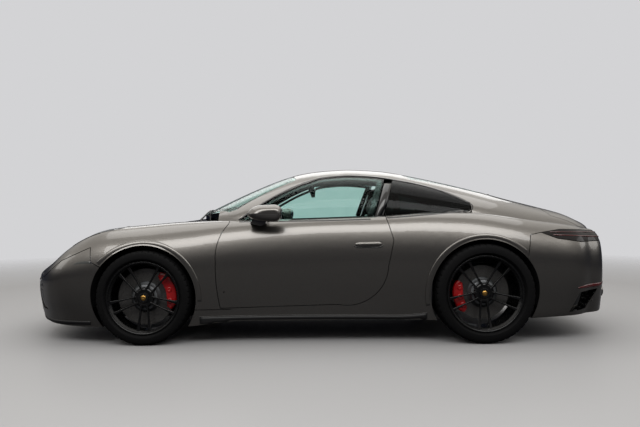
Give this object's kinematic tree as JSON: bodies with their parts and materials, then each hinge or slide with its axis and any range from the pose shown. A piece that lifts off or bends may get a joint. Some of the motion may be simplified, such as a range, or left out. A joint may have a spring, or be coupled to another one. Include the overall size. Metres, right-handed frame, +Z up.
{
  "type": "two-door sports coupe car",
  "caption": "Rear-engined two-door coupe with opening doors and lids, lifting spoiler, steered front wheels and a furnished cabin.",
  "frame": {"origin": "on the ground, half-way along the car and on its centre plane", "axes": "+X to the rear, +Y to the car's right, +Z up"},
  "size_m": [4.533, 2, 1.3051],
  "materials": {
    "paint": "metallic clear coat",
    "glass": "tinted",
    "tyre": "matt",
    "rim": "gloss black",
    "disc": "machined",
    "caliper": "gloss red",
    "lamp": "clear",
    "tail_lamp": "gloss",
    "structure": "satin",
    "running_gear": "cast",
    "engine": "cast",
    "exhaust": "satin",
    "interior": "grained",
    "leather": "smooth",
    "trim": "gloss"
  },
  "bodies": {
    "root": {"front_bumper": "paint", "fender_left": "paint", "fender_right": "paint", "body_side_left": "paint", "body_side_right": "paint", "roof": "paint", "rear_deck": "paint", "rear_bumper": "paint", "cowl": "trim", "windscreen": "glass", "rear_window": "glass", "quarter_glasses": "glass", "headlamp_left": "lamp", "headlamp_right": "lamp", "tail_lamp": "tail_lamp", "floor": "structure", "front_structure": "structure", "rear_structure": "structure", "front_suspension": "running_gear", "rear_hub_carriers": "running_gear", "rear_calipers": "caliper", "rear_suspension": "running_gear", "engine": "engine", "exhaust": "exhaust", "front_seats": "leather", "rear_bench": "leather", "dashboard": "interior", "headlamp_bowl_left": "trim", "headlamp_bowl_right": "trim", "front_grilles": "trim", "rear_grilles": "trim", "undertray": "structure"},
    "door_left": {"door_left": "paint", "door_glass_left": "glass", "mirror_left": "paint"},
    "door_right": {"door_right": "paint", "door_glass_right": "glass", "mirror_right": "paint"},
    "hood": {"hood": "paint"},
    "rear_lid": {"rear_lid": "trim"},
    "spoiler": {"spoiler": "paint"},
    "knuckle_left": {"knuckle_left": "running_gear", "caliper_front_left": "caliper"},
    "knuckle_right": {"knuckle_right": "running_gear", "caliper_front_right": "caliper"},
    "steering_wheel": {"steering_wheel": "leather"},
    "wheel_front_left": {"tyre_front_left": "tyre", "rim_front_left": "rim", "disc_front_left": "disc"},
    "wheel_front_right": {"tyre_front_right": "tyre", "rim_front_right": "rim", "disc_front_right": "disc"},
    "wheel_rear_left": {"tyre_rear_left": "tyre", "rim_rear_left": "rim", "disc_rear_left": "disc"},
    "wheel_rear_right": {"tyre_rear_right": "tyre", "rim_rear_right": "rim", "disc_rear_right": "disc"}
  },
  "joints": [
    {"name": "door_left_hinge", "type": "hinge", "parent": "root", "child": "door_left", "pos_m": [-0.7035, -0.85823, 0.5], "axis": [0, 0, -1], "range_deg": [0, 65]},
    {"name": "door_right_hinge", "type": "hinge", "parent": "root", "child": "door_right", "pos_m": [-0.7035, 0.85823, 0.5], "axis": [0, 0, 1], "range_deg": [0, 65]},
    {"name": "hood_hinge", "type": "hinge", "parent": "root", "child": "hood", "pos_m": [-0.738, 0, 0.87387], "axis": [0, 1, 0], "range_deg": [0, 46]},
    {"name": "rear_lid_hinge", "type": "hinge", "parent": "root", "child": "rear_lid", "pos_m": [1.216, 0, 1.05219], "axis": [0, -1, 0], "range_deg": [0, 48]},
    {"name": "spoiler_lift", "type": "slide", "parent": "root", "child": "spoiler", "axis": [0.5, 0, 0.866], "range_m": [0, 0.09]},
    {"name": "steer_left", "type": "hinge", "parent": "root", "child": "knuckle_left", "pos_m": [-1.2665, -0.7255, 0.33975], "axis": [0, 0, 1], "range_deg": [-32, 32]},
    {"name": "steer_right", "type": "hinge", "parent": "root", "child": "knuckle_right", "pos_m": [-1.2665, 0.7255, 0.33975], "axis": [0, 0, 1], "range_deg": [-32, 32]},
    {"name": "steering_wheel_turn", "type": "hinge", "parent": "root", "child": "steering_wheel", "pos_m": [-0.2565, -0.365, 0.79], "axis": [-0.922, 0, -0.3872], "range_deg": [-460, 460]},
    {"name": "wheel_front_left_spin", "type": "hinge", "parent": "knuckle_left", "child": "wheel_front_left", "pos_m": [-1.2665, -0.7955, 0.33975], "axis": [0, 1, 0], "continuous": true},
    {"name": "wheel_front_right_spin", "type": "hinge", "parent": "knuckle_right", "child": "wheel_front_right", "pos_m": [-1.2665, 0.7955, 0.33975], "axis": [0, 1, 0], "continuous": true},
    {"name": "wheel_rear_left_spin", "type": "hinge", "parent": "root", "child": "wheel_rear_left", "pos_m": [1.1835, -0.7785, 0.3582], "axis": [0, 1, 0], "continuous": true},
    {"name": "wheel_rear_right_spin", "type": "hinge", "parent": "root", "child": "wheel_rear_right", "pos_m": [1.1835, 0.7785, 0.3582], "axis": [0, 1, 0], "continuous": true}
  ],
  "couplings": [
    {"joint": "steer_right", "follows": "steer_left", "ratio": 1},
    {"joint": "steering_wheel_turn", "follows": "steer_left", "ratio": 14}
  ]
}
